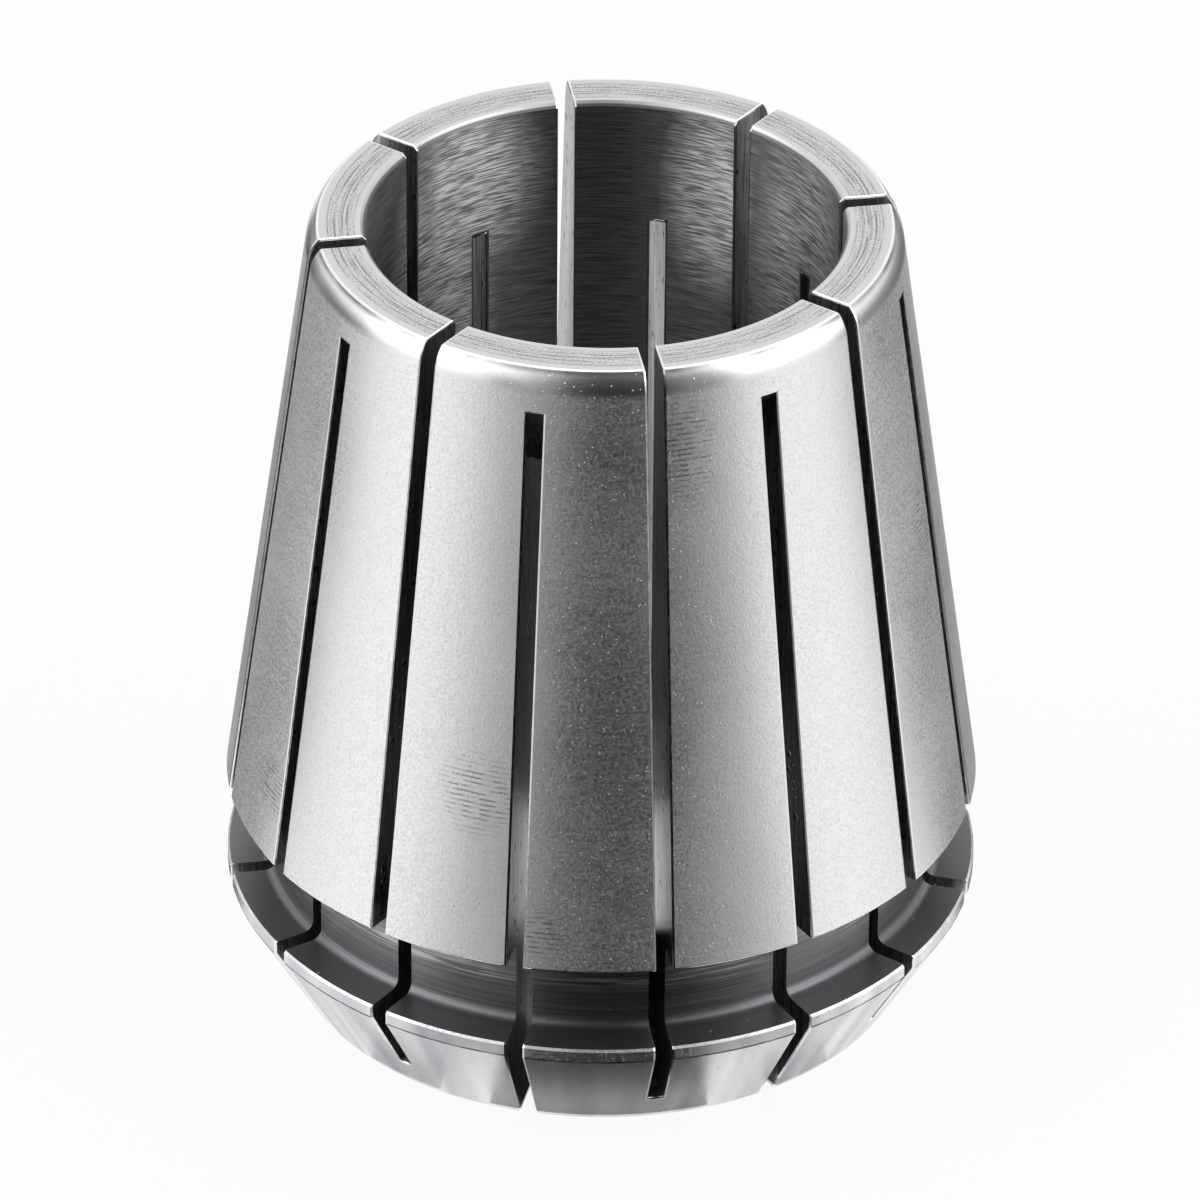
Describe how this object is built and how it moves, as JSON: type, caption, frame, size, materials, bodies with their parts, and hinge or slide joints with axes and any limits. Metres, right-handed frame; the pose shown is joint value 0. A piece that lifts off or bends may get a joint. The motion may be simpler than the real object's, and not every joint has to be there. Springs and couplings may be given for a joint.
{
  "type": "er collet",
  "caption": "Slotted steel spring collet with a long outside taper, a nut groove behind its nose and a straight bore; it squeezes a round tool shank as a nut draws it in.",
  "frame": {"origin": "centre of the front face, the wide nose end that the collet stands on", "axes": "+Z along the collet's axis from the front face to the narrow rear end; +X along a slit that is open at the rear"},
  "size_m": [0.041, 0.041, 0.046],
  "materials": {
    "ground_steel": "hardened spring steel, ground to a satin outside"
  },
  "bodies": {
    "root": {"collet": "ground_steel"}
  },
  "joints": []
}
